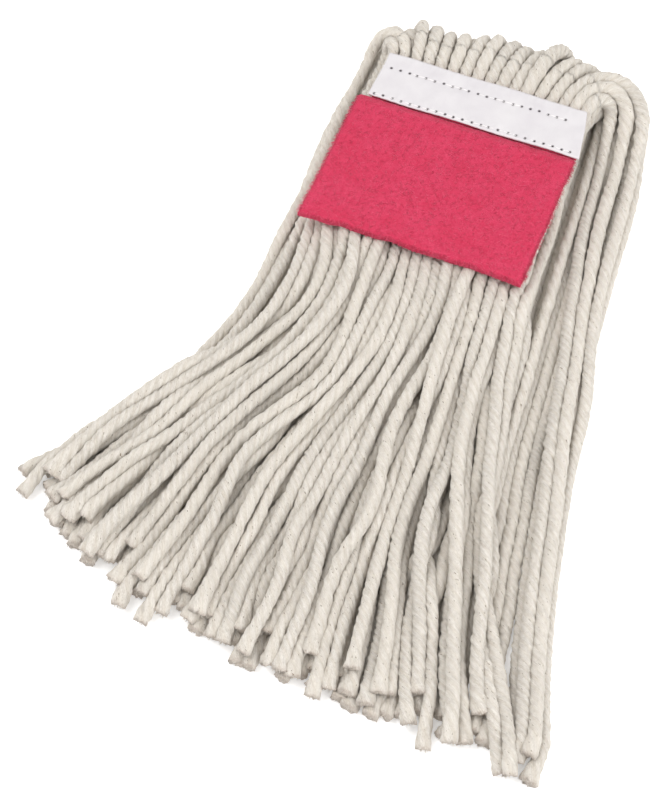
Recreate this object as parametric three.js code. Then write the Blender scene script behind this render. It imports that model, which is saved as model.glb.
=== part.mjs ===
// A cut-end cotton wet-mop head with a sewn headband and a scrub pad, lying flat.
// Millimetres. +X runs along the headband, +Y points to the folded loops, +Z is up.
// The cut ends of the yarn point to -Y. The floor is the plane z = 0.

import * as THREE from "three";

// ---- driving dimensions -------------------------------------------------------------

const YARN_COUNT = 17; // yarns side by side in one row across the headband
const YARN_DIAMETER = 7.0;
const YARN_SIDES = 8;
const YARN_STEPS = 17; // one step every 2.5 to 3 diameters along a hanging half
const LOOP_STEPS = 9;

const BAND_LENGTH = 133; // 5 1/4 in
const LOWER_TAPE_LENGTH = 124; // tucked in under the outermost yarns
const BAND_WIDTH = 36; // 1 3/8 in narrow headband
const TAPE_THICKNESS = 1.6;
const GAP = 0.3; // between pieces that touch

const PAD_LENGTH = 136;
const PAD_DROP = 95; // from the headband's edge to the pad's free edge
const PAD_THICKNESS = 5;
const PAD_CORNER = 2;
const MARGIN_INSET_X = 2; // the sewn margin stops short of the free flap's ends
const MARGIN_INSET_Y = 1;
const MARGIN_THICKNESS = 2.5; // the pad's edge, squeezed under the tape
const PAD_FALL = 3; // how much lower the pad's free edge lies than its sewn edge

const THREAD_DIAMETER = 0.8;
const STITCH_INSET = 3.2;
const STITCH_Y = BAND_WIDTH / 2 - STITCH_INSET; // each row of stitches, from the tape's middle line
const GROOVE_WIDTH = THREAD_DIAMETER + 2 * GAP;
const GROOVE_DEPTH = 0.9;
const THREAD_SIDES = 8;
const THREAD_LENGTH = LOWER_TAPE_LENGTH - 2 * STITCH_INSET;

// Heights above the floor, from the bottom of the stack to the top.
const FLOOR_YARN_Z = YARN_DIAMETER / 2;
const LOWER_TAPE_Z = 15.2;
const MIDDLES_Z = LOWER_TAPE_Z + TAPE_THICKNESS + GAP;
const MIDDLES_HEIGHT = 14;
const MIDDLES_INSET = 1; // at each end of the headband
const RIB_HEIGHT = 1.2;
const MARGIN_Z = MIDDLES_Z + MIDDLES_HEIGHT + GAP;
const UPPER_TAPE_Z = MARGIN_Z + MARGIN_THICKNESS + GAP;

// The front halves leave the headband, run under the pad and fan out.
const FRONT_START_Y = -(BAND_WIDTH / 2 + 2 * GAP);
const FRONT_START_Z = MARGIN_Z - GAP - YARN_DIAMETER / 2;
const FRONT_END_Z = FLOOR_YARN_Z + YARN_DIAMETER + 2 * GAP;
const FRONT_FAN_CENTRE = -10;
const FRONT_FAN_HALF = 130;
const FRONT_SWING = 9; // the left-hand yarns swing inwards below the pad before they fan out
const SWING_FROM = 0.2; // the stretch of the yarn that swings, as shares of its length
const SWING_LENGTH = 0.6;
const FAN_BEND_RIGHT = 1.5; // how late along its length a yarn turns outwards
const FAN_BEND_LEFT = 3;
const FRONT_POINTS = 16;

// The back halves turn over in loops behind the headband and run under everything.
const LOOP_APEX_Y = 58; // centre of the yarn at the far point of a middle loop
const LOOP_SKEW = 4; // the right-hand loops stand out further than the left-hand ones
const LOOP_CROWN = 12; // how far the end loops fall short of the middle ones
const LOOP_APEX_Z = 16.5;
const LOOP_TOP_Z = 28.6;
const BACK_START_Y = 33;
const BACK_POINTS = 12;
const BACK_FAN_CENTRE = 12;
const BACK_FAN_HALF = 158;
const BACK_SPREAD_CENTRE = 7;
const BACK_SPREAD_HALF = 97;
const BACK_DRAW_IN = 0.05; // the back halves start this share nearer their places in the headband

// The line of the cut ends, from its short left end to its long right end.
const FRINGE_LEFT_X = -148;
const FRINGE_SPAN = 320;
const FRINGE_LEFT_DROP = 320;
const FRINGE_EXTRA_DROP = 60;
const FRINGE_CURVE = 4;
const FRONT_STAGGER = 4; // neighbouring ends are cut at slightly different lengths
const BACK_STAGGER = 5;

// ---- materials ----------------------------------------------------------------------

const cotton = new THREE.MeshStandardMaterial({ color: 0xe1dad0, roughness: 0.95 });
const vinylTape = new THREE.MeshStandardMaterial({ color: 0xf0ecee, roughness: 0.55 });
const scrubFibre = new THREE.MeshStandardMaterial({ color: 0xd73c5f, roughness: 0.9 });
const thread = new THREE.MeshStandardMaterial({ color: 0xf5f2ee, roughness: 0.7 });

// ---- helpers ------------------------------------------------------------------------

const mop = new THREE.Group();

function addMesh(name, geometry, material) {
  const mesh = new THREE.Mesh(geometry, material);
  mesh.name = name;
  mop.add(mesh);
  return mesh;
}

function roundSection(diameter, sides) {
  const section = new THREE.Shape();
  for (let i = 0; i < sides; i++) {
    const angle = (2 * Math.PI * i) / sides;
    const x = (diameter / 2) * Math.cos(angle);
    const y = (diameter / 2) * Math.sin(angle);
    if (i === 0) section.moveTo(x, y);
    else section.lineTo(x, y);
  }
  section.closePath();
  return section;
}

function tubeAlong(points, diameter, sides, steps) {
  const path = new THREE.CatmullRomCurve3(points, false, "centripetal");
  const section = roundSection(diameter, sides);
  return new THREE.ExtrudeGeometry(section, { steps, extrudePath: path });
}

function roundedRectangle(length, width, radius) {
  const x = length / 2;
  const y = width / 2;
  const outline = new THREE.Shape();
  outline.moveTo(-x + radius, -y);
  outline.lineTo(x - radius, -y);
  outline.absarc(x - radius, -y + radius, radius, -Math.PI / 2, 0);
  outline.lineTo(x, y - radius);
  outline.absarc(x - radius, y - radius, radius, 0, Math.PI / 2);
  outline.lineTo(-x + radius, y);
  outline.absarc(-x + radius, y - radius, radius, Math.PI / 2, Math.PI);
  outline.lineTo(-x, -y + radius);
  outline.absarc(-x + radius, -y + radius, radius, Math.PI, 1.5 * Math.PI);
  return outline;
}

function slab(length, width, thickness, corner) {
  const outline = roundedRectangle(length, width, corner);
  return new THREE.ExtrudeGeometry(outline, {
    depth: thickness,
    bevelEnabled: false,
    curveSegments: 4,
  });
}

// Where yarn number i stands across the row, from -1 at the left end to 1 at the right end.
function across(i) {
  return -1 + (2 * i) / (YARN_COUNT - 1);
}

const bandX = (u) => u * (BAND_LENGTH / 2 - YARN_DIAMETER / 2 - MIDDLES_INSET);

// The line of the cut ends: the left-hand yarns lie shorter than the right-hand ones.
function fringeY(x) {
  const share = THREE.MathUtils.clamp((x - FRINGE_LEFT_X) / FRINGE_SPAN, 0, 1);
  return -(FRINGE_LEFT_DROP + FRINGE_EXTRA_DROP * (1 - (1 - share) ** FRINGE_CURVE));
}

function numbered(name, i) {
  return name + "_" + String(i + 1).padStart(2, "0");
}

// ---- headband -----------------------------------------------------------------------

// Each row of stitches pulls its thread into a groove of the tape, clear of the clamped face.
function tapeProfile() {
  const edge = BAND_WIDTH / 2;
  const near = STITCH_Y - GROOVE_WIDTH / 2;
  const far = STITCH_Y + GROOVE_WIDTH / 2;
  const floor = TAPE_THICKNESS - GROOVE_DEPTH;
  const corners = [
    [-edge, 0],
    [edge, 0],
    [edge, TAPE_THICKNESS],
    [far, TAPE_THICKNESS],
    [far, floor],
    [near, floor],
    [near, TAPE_THICKNESS],
    [-near, TAPE_THICKNESS],
    [-near, floor],
    [-far, floor],
    [-far, TAPE_THICKNESS],
    [-edge, TAPE_THICKNESS],
  ];
  return new THREE.Shape(corners.map(([y, z]) => new THREE.Vector2(y, z)));
}

function tape(tapeLength) {
  const geometry = new THREE.ExtrudeGeometry(tapeProfile(), {
    depth: tapeLength,
    bevelEnabled: false,
  });
  geometry.translate(0, 0, -tapeLength / 2);
  geometry.rotateY(Math.PI / 2);
  geometry.rotateX(Math.PI / 2);
  return geometry;
}

function addHeadband() {
  addMesh("headband_upper_tape", tape(BAND_LENGTH), vinylTape).position.z = UPPER_TAPE_Z;
  const lower = addMesh("headband_lower_tape", tape(LOWER_TAPE_LENGTH), vinylTape);
  lower.rotation.x = Math.PI;
  lower.position.z = LOWER_TAPE_Z + TAPE_THICKNESS;
}

// The middles of the yarns, squeezed side by side between the tapes: a ribbed slab.
function addYarnMiddles() {
  const pitch = (BAND_LENGTH - 2 * MIDDLES_INSET) / YARN_COUNT;
  const ribRadius = (pitch * pitch) / (8 * RIB_HEIGHT) + RIB_HEIGHT / 2;
  const halfAngle = Math.asin(pitch / 2 / ribRadius);
  const top = MIDDLES_HEIGHT / 2 - ribRadius;
  const profile = new THREE.Shape();
  for (let i = 0; i < YARN_COUNT; i++) {
    const x = (i - (YARN_COUNT - 1) / 2) * pitch;
    profile.absarc(x, -top, ribRadius, -Math.PI / 2 - halfAngle, -Math.PI / 2 + halfAngle);
  }
  for (let i = YARN_COUNT - 1; i >= 0; i--) {
    const x = (i - (YARN_COUNT - 1) / 2) * pitch;
    profile.absarc(x, top, ribRadius, Math.PI / 2 - halfAngle, Math.PI / 2 + halfAngle);
  }
  profile.closePath();
  const length = BAND_WIDTH;
  const geometry = new THREE.ExtrudeGeometry(profile, {
    depth: length,
    bevelEnabled: false,
    curveSegments: 3,
  });
  const middles = addMesh("stitched_yarn_middles", geometry, cotton);
  middles.rotation.x = Math.PI / 2;
  middles.position.set(0, length / 2, MIDDLES_Z + MIDDLES_HEIGHT / 2);
}

// Two rows of lockstitch, each with a thread on the upper tape and one on the lower tape.
function addStitching() {
  const lift = TAPE_THICKNESS - GROOVE_DEPTH + GAP + THREAD_DIAMETER / 2;
  const upperZ = UPPER_TAPE_Z + lift;
  const lowerZ = LOWER_TAPE_Z + TAPE_THICKNESS - lift;
  const rows = [
    ["stitching_loop_side_upper", STITCH_Y, upperZ],
    ["stitching_pad_side_upper", -STITCH_Y, upperZ],
    ["stitching_loop_side_lower", STITCH_Y, lowerZ],
    ["stitching_pad_side_lower", -STITCH_Y, lowerZ],
  ];
  for (const [name, y, z] of rows) {
    const radius = THREAD_DIAMETER / 2;
    const cylinder = new THREE.CylinderGeometry(radius, radius, THREAD_LENGTH, THREAD_SIDES);
    const row = addMesh(name, cylinder, thread);
    row.rotation.z = Math.PI / 2;
    row.position.set(0, y, z);
  }
}

// ---- scrub pad ----------------------------------------------------------------------

// The sewn margin stays under the upper tape; the free flap hangs from the tape's edge.
function addScrubPad() {
  const marginLength = PAD_LENGTH - 2 * MARGIN_INSET_X;
  const marginWidth = BAND_WIDTH - 2 * MARGIN_INSET_Y;
  const margin = slab(marginLength, marginWidth, MARGIN_THICKNESS, PAD_CORNER);
  addMesh("scrub_pad_sewn_margin", margin, scrubFibre).position.z = MARGIN_Z;

  const flap = slab(PAD_LENGTH, PAD_DROP, PAD_THICKNESS, PAD_CORNER);
  flap.translate(0, -PAD_DROP / 2, 0);
  const pad = addMesh("scrub_pad", flap, scrubFibre);
  pad.rotation.x = Math.asin(PAD_FALL / PAD_DROP);
  pad.position.set(0, FRONT_START_Y, MARGIN_Z);
}

// ---- yarn ---------------------------------------------------------------------------

function addFrontYarn(i) {
  const u = across(i);
  const startX = bandX(u);
  const endX = FRONT_FAN_CENTRE + FRONT_FAN_HALF * u;
  const endY = fringeY(endX) + FRONT_STAGGER * (i % 3);
  const leftness = (1 - u) / 2;
  const points = [];
  for (let k = 0; k <= FRONT_POINTS; k++) {
    const t = k / FRONT_POINTS;
    const y = THREE.MathUtils.lerp(FRONT_START_Y, endY, t);
    const swinging = THREE.MathUtils.clamp((t - SWING_FROM) / SWING_LENGTH, 0, 1);
    const swing = Math.sin(Math.PI * swinging) ** 2;
    const bend = THREE.MathUtils.lerp(FAN_BEND_RIGHT, FAN_BEND_LEFT, leftness);
    const x = THREE.MathUtils.lerp(startX, endX, t ** bend) + FRONT_SWING * leftness * swing;
    const z = THREE.MathUtils.lerp(FRONT_START_Z, FRONT_END_Z, t);
    points.push(new THREE.Vector3(x, y, z));
  }
  const geometry = tubeAlong(points, YARN_DIAMETER, YARN_SIDES, YARN_STEPS);
  addMesh(numbered("front_yarn", i), geometry, cotton);
}

const spreadX = (u) => BACK_SPREAD_CENTRE + BACK_SPREAD_HALF * u;
const backStartX = (u) => THREE.MathUtils.lerp(spreadX(u), bandX(u), BACK_DRAW_IN);

// A loop leaves the headband's far edge, turns over and comes back underneath.
function addYarnLoop(i) {
  const u = across(i);
  const startX = bandX(u);
  const endX = backStartX(u);
  const apexY = LOOP_APEX_Y + LOOP_SKEW * u - LOOP_CROWN * u * u;
  const at = (share, y, z) => {
    return new THREE.Vector3(THREE.MathUtils.lerp(startX, endX, share), y, z);
  };
  const startY = BAND_WIDTH / 2 + 2 * GAP;
  const points = [
    at(0, startY, MIDDLES_Z + MIDDLES_HEIGHT / 2),
    at(0, startY + YARN_DIAMETER / 2, MIDDLES_Z + MIDDLES_HEIGHT / 2),
    at(0.15, THREE.MathUtils.lerp(startY, apexY, 0.4), LOOP_TOP_Z - 1.2),
    at(0.4, THREE.MathUtils.lerp(startY, apexY, 0.75), LOOP_TOP_Z),
    at(0.72, apexY, LOOP_APEX_Z),
    at(0.95, THREE.MathUtils.lerp(BACK_START_Y, apexY, 0.55), FLOOR_YARN_Z + 1.2),
    at(1, BACK_START_Y + YARN_DIAMETER / 2, FLOOR_YARN_Z + 0.6),
    at(1, BACK_START_Y + 2 * GAP, FLOOR_YARN_Z + 0.6),
  ];
  const geometry = tubeAlong(points, YARN_DIAMETER, YARN_SIDES, LOOP_STEPS);
  addMesh(numbered("yarn_loop", i), geometry, cotton);
}

function addBackYarn(i) {
  const u = across(i);
  const startX = backStartX(u);
  const endX = BACK_FAN_CENTRE + BACK_FAN_HALF * u;
  const endY = fringeY(endX) + BACK_STAGGER * ((i + 1) % 2);
  const points = [];
  for (let k = 0; k <= BACK_POINTS; k++) {
    const t = k / BACK_POINTS;
    const y = THREE.MathUtils.lerp(BACK_START_Y, endY, t);
    const x = THREE.MathUtils.lerp(startX, endX, t * t);
    points.push(new THREE.Vector3(x, y, FLOOR_YARN_Z));
  }
  const geometry = tubeAlong(points, YARN_DIAMETER, YARN_SIDES, YARN_STEPS);
  addMesh(numbered("back_yarn", i), geometry, cotton);
}

// ---- assembly -----------------------------------------------------------------------

addHeadband();
addYarnMiddles();
addStitching();
addScrubPad();
for (let i = 0; i < YARN_COUNT; i++) {
  addFrontYarn(i);
  addYarnLoop(i);
  addBackYarn(i);
}

// The origin is the middle of the whole mop's footprint, on the floor.
const box = new THREE.Box3().setFromObject(mop, true);
mop.position.set(-(box.min.x + box.max.x) / 2, -(box.min.y + box.max.y) / 2, -box.min.z);
const part = new THREE.Group();
part.add(mop);

export default part;
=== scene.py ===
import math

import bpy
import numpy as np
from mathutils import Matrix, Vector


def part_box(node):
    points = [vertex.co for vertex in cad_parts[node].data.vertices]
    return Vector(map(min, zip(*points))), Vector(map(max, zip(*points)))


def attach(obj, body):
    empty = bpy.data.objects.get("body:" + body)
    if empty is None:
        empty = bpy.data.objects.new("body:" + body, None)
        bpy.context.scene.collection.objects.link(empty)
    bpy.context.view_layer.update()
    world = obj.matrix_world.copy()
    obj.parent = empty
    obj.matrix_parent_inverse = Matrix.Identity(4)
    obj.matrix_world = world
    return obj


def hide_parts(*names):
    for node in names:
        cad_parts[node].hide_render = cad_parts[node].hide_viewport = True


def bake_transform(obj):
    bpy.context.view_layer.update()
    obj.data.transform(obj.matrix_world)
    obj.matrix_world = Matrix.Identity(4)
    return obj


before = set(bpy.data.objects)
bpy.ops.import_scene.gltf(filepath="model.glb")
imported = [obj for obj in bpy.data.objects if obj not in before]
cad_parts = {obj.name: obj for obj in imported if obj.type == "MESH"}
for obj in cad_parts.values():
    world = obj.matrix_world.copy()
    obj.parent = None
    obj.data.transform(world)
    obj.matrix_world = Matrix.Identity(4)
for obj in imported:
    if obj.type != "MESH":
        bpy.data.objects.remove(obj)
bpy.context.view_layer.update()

# The looks of a cut-end cotton mop head: about fifty plied yarns sewn under a headband,
# with a scrub pad on top. Shapes are worked out in millimetres in the headband's own frame
# (x along the headband, y towards the loops, z up from the floor) and placed in metres.

rng = np.random.default_rng(709)  # every random draw, in one fixed order

# ---- the frame ----

MM = 0.001  # a millimetre in metres
PAD_GAP = 0.2  # from the tape to the pad's free flap

tape_low, tape_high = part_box("headband_upper_tape")
lower_tape_low, lower_tape_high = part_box("headband_lower_tape")
HEADBAND = np.array([(tape_low.x + tape_high.x) / 2, (tape_low.y + tape_high.y) / 2, 0.0])

BAND_LENGTH = (tape_high.x - tape_low.x) / MM
BAND_WIDTH = (tape_high.y - tape_low.y) / MM
BAND_EDGE = BAND_WIDTH / 2
TAPE_TOP = tape_high.z / MM
TAPE_BOTTOM = tape_low.z / MM
LOWER_TAPE_BOTTOM = lower_tape_low.z / MM
LOWER_TAPE_TOP = lower_tape_high.z / MM
LOWER_TAPE_LENGTH = (lower_tape_high.x - lower_tape_low.x) / MM

pad_low, pad_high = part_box("scrub_pad")
margin_low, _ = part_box("scrub_pad_sewn_margin")
PAD_LENGTH = (pad_high.x - pad_low.x) / MM
PAD_START = (pad_high.y - HEADBAND[1]) / MM - PAD_GAP
PAD_END = (pad_low.y - HEADBAND[1]) / MM
PAD_UNDERSIDE = margin_low.z / MM


def to_row(points):
    """Points in millimetres in the headband's frame, as metres in the row frame."""
    return np.asarray(points, float) * MM + HEADBAND


def smooth(t):
    """Eases from 0 to 1 as t goes from 0 to 1, and stays there outside."""
    t = np.clip(t, 0.0, 1.0)
    return t * t * (3 - 2 * t)


def lerp(a, b, t):
    return a + (b - a) * t


def steps(path):
    """The distance from each point of a line to the next."""
    return np.linalg.norm(np.diff(path, axis=0), axis=1)


def circle(sides):
    return np.arange(sides) * 2 * math.pi / sides


def slow_noise(count, knots, size, *lines):
    """A smooth random line through this many knots, or several such lines."""
    at = np.linspace(0, knots - 1, count)
    k = np.minimum(at.astype(int), knots - 2)
    heights = rng.normal(0, size, (knots, *lines))
    ease = smooth(at - k).reshape(count, *[1 for _ in lines])
    return lerp(heights[k], heights[k + 1], ease)


# ---- camera ----


def add_object(name, data):
    thing = bpy.data.objects.new(name, data)
    bpy.context.scene.collection.objects.link(thing)
    return thing


CAMERA_AZIMUTH = math.radians(22.3)
CAMERA_ELEVATION = math.radians(57.2)
CAMERA_FROM_HEADBAND = (221, -770, 943)
CAMERA_LENS = 90


def add_camera():
    data = bpy.data.cameras.new("camera")
    data.lens = CAMERA_LENS
    data.clip_start = 0.05
    camera = add_object("camera", data)
    camera.location = to_row(CAMERA_FROM_HEADBAND)
    camera.rotation_euler = (math.pi / 2 - CAMERA_ELEVATION, 0, CAMERA_AZIMUTH)
    bpy.context.scene.camera = camera


add_camera()

# ---- mesh building ----


class Shape:
    """Vertices, faces and per-vertex values gathered before they become one mesh."""

    def __init__(self):
        self.points, self.quads, self.triangles = [], [], []
        self.values = {}
        self.count = 0

    def add(self, points, quads=(), triangles=(), **values):
        points = np.asarray(points, float).reshape(-1, 3)
        self.points.append(points)
        if len(quads):
            self.quads.append(np.asarray(quads) + self.count)
        if len(triangles):
            self.triangles.append(np.asarray(triangles) + self.count)
        for name, value in values.items():
            self.values.setdefault(name, []).append(np.asarray(value, float))
        self.count += len(points)

    def to_object(self, name, material):
        mesh = bpy.data.meshes.new(name)
        points = to_row(np.concatenate(self.points))
        quads = np.concatenate(self.quads)
        triangles = np.concatenate(self.triangles or [np.zeros((0, 3), int)])
        corners = np.concatenate([quads.ravel(), triangles.ravel()])
        starts = np.concatenate(
            [4 * np.arange(len(quads)), 4 * len(quads) + 3 * np.arange(len(triangles))]
        )
        mesh.vertices.add(len(points))
        mesh.vertices.foreach_set("co", points.ravel())
        mesh.loops.add(len(corners))
        mesh.loops.foreach_set("vertex_index", corners.astype(np.int32))
        mesh.polygons.add(len(starts))
        mesh.polygons.foreach_set("loop_start", starts.astype(np.int32))
        mesh.update(calc_edges=True)
        mesh.validate()
        mesh.polygons.foreach_set("use_smooth", np.ones(len(mesh.polygons), bool))
        for key, parts in self.values.items():
            data = np.concatenate(parts)
            kind, field = ("FLOAT", "value") if data.ndim == 1 else ("FLOAT_VECTOR", "vector")
            attribute = mesh.attributes.new(key, kind, "POINT")
            attribute.data.foreach_set(field, data.astype(np.float32).ravel())
        mesh.materials.append(material)
        return add_object(name, mesh)


def tube_faces(rings, sides):
    """Quads of a tube of rings, facing out when the sides turn anticlockwise ahead."""
    k, j = np.meshgrid(np.arange(rings - 1), np.arange(sides), indexing="ij")
    here, beside = k * sides + j, k * sides + (j + 1) % sides
    return np.stack([here, beside, beside + sides, here + sides], -1).reshape(-1, 4)


def cap_faces(first, sides, centre, turned):
    """Triangles from a ring to its centre point, turned round at a tube's start."""
    j = np.arange(sides)
    a, b = first + j, first + (j + 1) % sides
    order = [b, a] if turned else [a, b]
    return np.stack([order[0], order[1], np.full(sides, centre)], -1)


def with_centres(rings):
    """Every ring's points, then the middles of the first and the last ring."""
    return np.vstack([rings.reshape(-1, 3), rings[0].mean(0), rings[-1].mean(0)])


def tube_ends(sides, n):
    """The caps of a tube of n points whose two end centres follow them."""
    return np.vstack([cap_faces(0, sides, n, True), cap_faces(n - sides, sides, n + 1, False)])


# ---- materials ----


class Nodes:
    """A material's node tree, with short ways to add and link nodes."""

    def __init__(self, name):
        self.material = bpy.data.materials.new(name)
        self.material.use_nodes = True
        self.tree = self.material.node_tree
        self.shader = self.tree.nodes["Principled BSDF"]

    def add(self, kind, **settings):
        node = self.tree.nodes.new(kind)
        for key, value in settings.items():
            setattr(node, key, value)
        return node

    def link(self, source, target):
        self.tree.links.new(source, target)

    def attribute(self, name, output="Fac"):
        return self.add("ShaderNodeAttribute", attribute_name=name).outputs[output]

    def place(self):
        return self.add("ShaderNodeTexCoord").outputs["Object"]

    def math(self, operation, a, b):
        node = self.add("ShaderNodeMath", operation=operation)
        for socket, value in zip(node.inputs, (a, b)):
            if isinstance(value, (int, float)):
                socket.default_value = value
            else:
                self.link(value, socket)
        return node.outputs[0]

    def scaled(self, vector, scale):
        node = self.add("ShaderNodeVectorMath", operation="MULTIPLY")
        self.link(vector, node.inputs[0])
        node.inputs[1].default_value = scale
        return node.outputs[0]

    def noise(self, vector, scale, detail=2.0, roughness=0.5):
        node = self.add("ShaderNodeTexNoise")
        self.link(vector, node.inputs["Vector"])
        node.inputs["Scale"].default_value = scale
        node.inputs["Detail"].default_value = detail
        node.inputs["Roughness"].default_value = roughness
        return node.outputs["Fac"]

    def wave(self, vector, direction, scale, distortion=0.0):
        node = self.add("ShaderNodeTexWave", bands_direction=direction)
        self.link(vector, node.inputs["Vector"])
        node.inputs["Scale"].default_value = scale
        node.inputs["Distortion"].default_value = distortion
        return node.outputs["Fac"]

    def window(self, value, low, high):
        """0 where the value is low, 1 where it is high."""
        node = self.add("ShaderNodeMapRange", clamp=True)
        self.link(value, node.inputs["Value"])
        node.inputs["From Min"].default_value = low
        node.inputs["From Max"].default_value = high
        return node.outputs["Result"]

    def mix(self, factor, a, b):
        node = self.add("ShaderNodeMix", data_type="RGBA")
        for socket, value in ((node.inputs[0], factor), (node.inputs[6], a), (node.inputs[7], b)):
            if isinstance(value, tuple):
                socket.default_value = (*value, 1.0)
            else:
                self.link(value, socket)
        return node.outputs[2]

    def tint(self, colour, mask, amount, other):
        """The colour, turned this much towards another where the mask is 1."""
        return self.mix(self.math("MULTIPLY", mask, amount), colour, other)

    def sum(self, a, a_share, b, b_share):
        a, b = self.math("MULTIPLY", a, a_share), self.math("MULTIPLY", b, b_share)
        return self.math("ADD", a, b)

    def bump(self, height, distance, strength):
        node = self.add("ShaderNodeBump")
        node.inputs["Strength"].default_value = strength
        node.inputs["Distance"].default_value = distance
        self.link(height, node.inputs["Height"])
        return node.outputs["Normal"]

    def finish(self, colour, normal, roughness, specular, sheen=0.0):
        shader = self.shader.inputs
        self.link(colour, shader["Base Color"])
        self.link(normal, shader["Normal"])
        shader["Roughness"].default_value = roughness
        shader["Sheen Weight"].default_value = sheen
        shader["Sheen Roughness"].default_value = 0.5
        shader["Specular IOR Level"].default_value = specular
        return self.material


CREAM_SHADE, CREAM_LIGHT = (0.61, 0.55, 0.47), (0.98, 0.94, 0.88)  # along each ply's fibres
CREAM_FUZZ = (0.57, 0.51, 0.435)
CREAM_SLUB = (0.95, 0.90, 0.83)
# painted shade: the warm olive-brown put in the valleys between the plies, where shade falls
CREAM_VALLEY_SHADE = (0.56, 0.47, 0.34)
CREAM_TONE = (0.79, 0.73, 0.64)  # duller yarns lean to this
SEED_BROWN = (0.20, 0.13, 0.07)
CUT_BROWN = (0.46, 0.34, 0.27)


def cotton_material():
    """Plied cotton: fibre streaks along each ply, painted warm shade in the valleys, seed specks,
    brown cut ends.
    """
    n = Nodes("cotton_yarn")
    along = n.attribute("yarn_place", "Vector")
    valley = n.attribute("ply_valley")
    tone = n.attribute("yarn_tone")
    cut = n.attribute("cut_end")
    streaks = n.noise(n.scaled(along, (2.4, 2.4, 0.22)), 1.0, 4.0, 0.65)
    slubs = n.noise(n.scaled(along, (0.25, 0.25, 0.08)), 1.0, 2.0)
    fuzz = n.noise(n.scaled(along, (1.6, 1.6, 0.9)), 1.0, 4.0, 0.75)
    lumps = n.noise(n.scaled(along, (0.7, 0.7, 0.4)), 1.0, 3.0, 0.6)
    seeds = n.noise(n.scaled(along, (0.9, 0.9, 0.5)), 1.0, 1.0)
    cream = n.mix(n.window(streaks, 0.3, 0.7), CREAM_SHADE, CREAM_LIGHT)
    cream = n.tint(cream, n.window(fuzz, 0.46, 0.70), 0.9, CREAM_FUZZ)
    cream = n.tint(cream, n.window(slubs, 0.35, 0.7), 0.4, CREAM_SLUB)
    # painted shade in the valleys between the plies
    cream = n.tint(cream, valley, 0.45, CREAM_VALLEY_SHADE)
    cream = n.tint(cream, tone, 0.35, CREAM_TONE)
    cream = n.tint(cream, n.window(seeds, 0.73, 0.75), 0.85, SEED_BROWN)
    ragged = n.math("MULTIPLY", cut, n.window(fuzz, 0.3, 0.62))
    cream = n.tint(cream, ragged, 0.6, CUT_BROWN)
    fine = n.sum(streaks, 0.45, fuzz, 0.4)
    height = n.math("ADD", fine, n.math("MULTIPLY", lumps, 0.8))
    bump = n.bump(height, distance=0.0016, strength=1.0)
    return n.finish(cream, bump, roughness=0.97, sheen=0.25, specular=0.05)


PINK_SHADE, PINK_LIGHT = (0.44, 0.021, 0.062), (0.59, 0.044, 0.102)
PINK_CROWN = (0.76, 0.12, 0.205)
PINK_PATCH = (0.52, 0.026, 0.064)
# painted shade for the pits of the pad
PINK_PIT_SHADE = (0.42, 0.018, 0.055)
PINK_FIBRE = (0.84, 0.15, 0.25)


def scrub_material():
    """Bonded fibre: mottled pink, painted darker as shade where fibre_depth is high, paler where it
    is below 0.
    """
    n = Nodes("scrub_fibre")
    place = n.place()
    depth = n.attribute("fibre_depth")
    clumps = n.noise(place, 900.0, 3.0, 0.65)
    cells = n.noise(place, 2300.0, 3.0, 0.75)
    patches = n.noise(place, 70.0, 2.0)
    pink = n.mix(n.window(clumps, 0.25, 0.75), PINK_SHADE, PINK_LIGHT)
    pink = n.mix(n.window(cells, 0.48, 0.72), pink, PINK_CROWN)
    pink = n.tint(pink, n.window(patches, 0.4, 0.7), 0.3, PINK_PATCH)
    # painted shade in the pits
    pink = n.tint(pink, depth, 0.3, PINK_PIT_SHADE)
    pink = n.mix(n.window(depth, 0.0, -1.0), pink, PINK_FIBRE)
    bump = n.bump(n.sum(clumps, 0.6, cells, 0.4), distance=0.0006, strength=0.4)
    return n.finish(pink, bump, roughness=0.95, sheen=0.08, specular=0.08)


TAPE_SHADE, TAPE_LIGHT = (0.61, 0.583, 0.60), (0.66, 0.637, 0.645)
TAPE_WEAVE = (0.62, 0.59, 0.61)
# painted shade: the near-black put in each needle hole, where only shade is
HOLE_SHADE = (0.045, 0.035, 0.04)


def tape_material():
    """Coated white tape: a fine woven scrim under a soft matt skin, with painted shade at the needle
    holes.
    """
    n = Nodes("vinyl_tape")
    place = n.place()
    hole = n.attribute("needle_hole_shade")
    warp, weft = [n.wave(place, direction, 330.0, distortion=0.6) for direction in ("X", "Y")]
    weave = n.math("MULTIPLY", warp, weft)
    cloud = n.noise(place, 60.0, 3.0, 0.55)
    white = n.mix(n.window(cloud, 0.35, 0.7), TAPE_SHADE, TAPE_LIGHT)
    white = n.tint(white, weave, 0.12, TAPE_WEAVE)
    # painted shade in the needle holes
    white = n.mix(hole, white, HOLE_SHADE)
    bump = n.bump(n.sum(weave, 0.5, cloud, 0.5), distance=0.0001, strength=0.5)
    return n.finish(white, bump, roughness=0.5, specular=0.4)


THREAD_SHADE, THREAD_LIGHT = (0.78, 0.75, 0.74), (0.93, 0.91, 0.90)


def thread_material():
    """Twisted sewing thread."""
    n = Nodes("sewing_thread")
    twist = n.wave(n.place(), "DIAGONAL", 900.0)
    colour = n.mix(twist, THREAD_SHADE, THREAD_LIGHT)
    bump = n.bump(twist, distance=0.0001, strength=0.6)
    return n.finish(colour, bump, roughness=0.7, specular=0.3)


PAPER_SHADE, PAPER_LIGHT = (0.90, 0.90, 0.90), (0.93, 0.93, 0.93)
PAPER_GLOW = 0.28
WHITE = (1.0, 1.0, 1.0, 1.0)


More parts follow.
